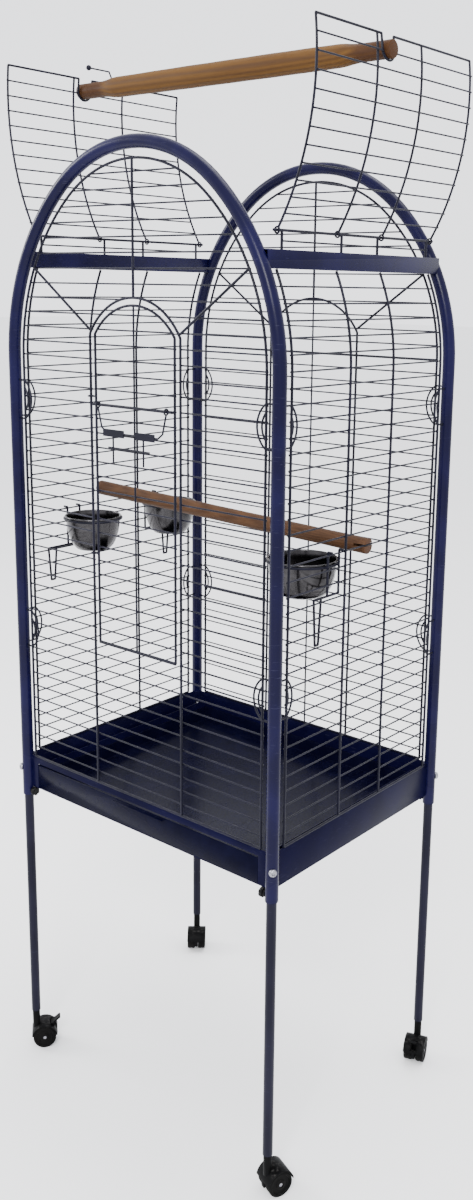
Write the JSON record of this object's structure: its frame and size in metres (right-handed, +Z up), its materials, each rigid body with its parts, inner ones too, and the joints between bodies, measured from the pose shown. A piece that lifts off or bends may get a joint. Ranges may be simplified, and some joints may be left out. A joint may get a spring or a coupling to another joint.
{
  "type": "bird cage on a wheeled stand",
  "caption": "Arched wire bird cage on a tall wheeled stand, with a split roof that folds open to carry a play perch, a front door, hung bowls and a slide-out tray",
  "frame": {"origin": "on the floor, midway between the four legs", "axes": "+Z up, the face with the door towards -Y, +X to the right seen from that face"},
  "size_m": [0.5088, 0.3758, 1.3942],
  "materials": {
    "bowl_steel": "spun and polished",
    "castor_black": "moulded",
    "dark_wire": "powder-coated wire",
    "knob_black": "moulded",
    "leg_tube": "satin powder coat",
    "navy_sheet": "gloss powder coat",
    "navy_tray": "gloss moulded plastic",
    "navy_tube": "gloss powder coat",
    "perch_brown": "bare turned wood",
    "perch_pale": "bare turned wood",
    "screw_steel": "zinc plated",
    "wheel_black": "moulded"
  },
  "bodies": {
    "cage": {"arch_back": "navy_tube", "arch_front": "navy_tube", "base_bolts": "screw_steel", "base_cap_nuts": "screw_steel", "base_skirt": "navy_sheet", "bowl_holder_left_back": "dark_wire", "bowl_holder_left_front": "dark_wire", "bowl_holder_right": "dark_wire", "inner_perch": "perch_brown", "leg_back_left": "leg_tube", "leg_back_right": "leg_tube", "leg_front_left": "leg_tube", "leg_front_right": "leg_tube", "leg_thumb_screws": "knob_black", "panel_back": "dark_wire", "panel_front": "dark_wire", "panel_left": "dark_wire", "panel_right": "dark_wire", "roof_rail_left": "dark_wire", "roof_rail_right": "dark_wire", "side_beam_left": "navy_tube", "side_beam_right": "navy_tube"},
    "roof_left": {"roof_lid_left": "dark_wire"},
    "roof_right": {"roof_lid_right": "dark_wire"},
    "roof_hook": {"roof_latch": "dark_wire"},
    "perch_top": {"top_perch": "perch_pale"},
    "door": {"front_door": "dark_wire"},
    "door_bail": {"door_latch": "dark_wire"},
    "droppings_tray": {"tray": "navy_tray"},
    "bowl_a": {"bowl_left_front": "bowl_steel"},
    "bowl_b": {"bowl_left_back": "bowl_steel"},
    "bowl_c": {"bowl_right": "bowl_steel"},
    "castor_front_left": {"castor_front_left_body": "castor_black"},
    "wheels_front_left": {"castor_front_left_wheels": "wheel_black", "castor_front_left_axle": "screw_steel"},
    "brake_front_left": {"castor_front_left_brake": "castor_black"},
    "castor_front_right": {"castor_front_right_body": "castor_black"},
    "wheels_front_right": {"castor_front_right_wheels": "wheel_black", "castor_front_right_axle": "screw_steel"},
    "castor_back_left": {"castor_back_left_body": "castor_black"},
    "wheels_back_left": {"castor_back_left_wheels": "wheel_black", "castor_back_left_axle": "screw_steel"},
    "castor_back_right": {"castor_back_right_body": "castor_black"},
    "wheels_back_right": {"castor_back_right_wheels": "wheel_black", "castor_back_right_axle": "screw_steel"},
    "brake_back_right": {"castor_back_right_brake": "castor_black"}
  },
  "joints": [
    {"name": "roof_left_fold", "type": "hinge", "parent": "cage", "child": "roof_left", "pos_m": [-0.198, 0, 1.163], "axis": [0, 1, 0], "range_deg": [0, 78.1]},
    {"name": "roof_right_fold", "type": "hinge", "parent": "cage", "child": "roof_right", "pos_m": [0.198, 0, 1.163], "axis": [0, -1, 0], "range_deg": [0, 78.1]},
    {"name": "roof_hook_turn", "type": "hinge", "parent": "roof_left", "child": "roof_hook", "pos_m": [-0.24339, 0.028, 1.37205], "axis": [0, -1, 0], "range_deg": [0, 100]},
    {"name": "top_perch_lift", "type": "slide", "parent": "cage", "child": "perch_top", "axis": [0, 0, 1], "range_m": [0, 0.22]},
    {"name": "door_swing", "type": "hinge", "parent": "cage", "child": "door", "pos_m": [-0.076, -0.173, 0.87], "axis": [0, 0, -1], "range_deg": [0, 110]},
    {"name": "door_bail_lift", "type": "hinge", "parent": "door", "child": "door_bail", "pos_m": [0, -0.1782, 0.9605], "axis": [-1, 0, 0], "range_deg": [0, 80]},
    {"name": "tray_pull", "type": "slide", "parent": "cage", "child": "droppings_tray", "axis": [0, -1, 0], "range_m": [0, 0.3]},
    {"name": "bowl_a_lift", "type": "slide", "parent": "cage", "child": "bowl_a", "axis": [0, 0, 1], "range_m": [0, 0.06]},
    {"name": "bowl_b_lift", "type": "slide", "parent": "cage", "child": "bowl_b", "axis": [0, 0, 1], "range_m": [0, 0.06]},
    {"name": "bowl_c_lift", "type": "slide", "parent": "cage", "child": "bowl_c", "axis": [0, 0, 1], "range_m": [0, 0.06]},
    {"name": "castor_front_left_swivel", "type": "hinge", "parent": "cage", "child": "castor_front_left", "pos_m": [-0.222, -0.173, 0.05], "axis": [0, 0, 1], "continuous": true},
    {"name": "castor_front_left_roll", "type": "hinge", "parent": "castor_front_left", "child": "wheels_front_left", "pos_m": [-0.21461, -0.16419, 0.0165], "axis": [-0.766, 0.6428, 0], "continuous": true},
    {"name": "castor_front_left_brake_press", "type": "hinge", "parent": "castor_front_left", "child": "brake_front_left", "pos_m": [-0.20715, -0.1553, 0.0327], "axis": [-0.766, 0.6428, 0], "range_deg": [0, 16]},
    {"name": "castor_front_right_swivel", "type": "hinge", "parent": "cage", "child": "castor_front_right", "pos_m": [0.222, -0.173, 0.05], "axis": [0, 0, 1], "continuous": true},
    {"name": "castor_front_right_roll", "type": "hinge", "parent": "castor_front_right", "child": "wheels_front_right", "pos_m": [0.22593, -0.16219, 0.0165], "axis": [-0.9397, 0.342, 0], "continuous": true},
    {"name": "castor_back_left_swivel", "type": "hinge", "parent": "cage", "child": "castor_back_left", "pos_m": [-0.222, 0.173, 0.05], "axis": [0, 0, 1], "continuous": true},
    {"name": "castor_back_left_roll", "type": "hinge", "parent": "castor_back_left", "child": "wheels_back_left", "pos_m": [-0.21461, 0.16419, 0.0165], "axis": [0.766, 0.6428, 0], "continuous": true},
    {"name": "castor_back_right_swivel", "type": "hinge", "parent": "cage", "child": "castor_back_right", "pos_m": [0.222, 0.173, 0.05], "axis": [0, 0, 1], "continuous": true},
    {"name": "castor_back_right_roll", "type": "hinge", "parent": "castor_back_right", "child": "wheels_back_right", "pos_m": [0.22593, 0.16219, 0.0165], "axis": [0.9397, 0.342, 0], "continuous": true},
    {"name": "castor_back_right_brake_press", "type": "hinge", "parent": "castor_back_right", "child": "brake_back_right", "pos_m": [0.2299, 0.15129, 0.0327], "axis": [0.9397, 0.342, 0], "range_deg": [0, 16]}
  ],
  "couplings": [
    {"joint": "roof_right_fold", "follows": "roof_left_fold", "ratio": 1},
    {"joint": "top_perch_lift", "follows": "roof_left_fold", "m_per_rad": 0.16}
  ]
}
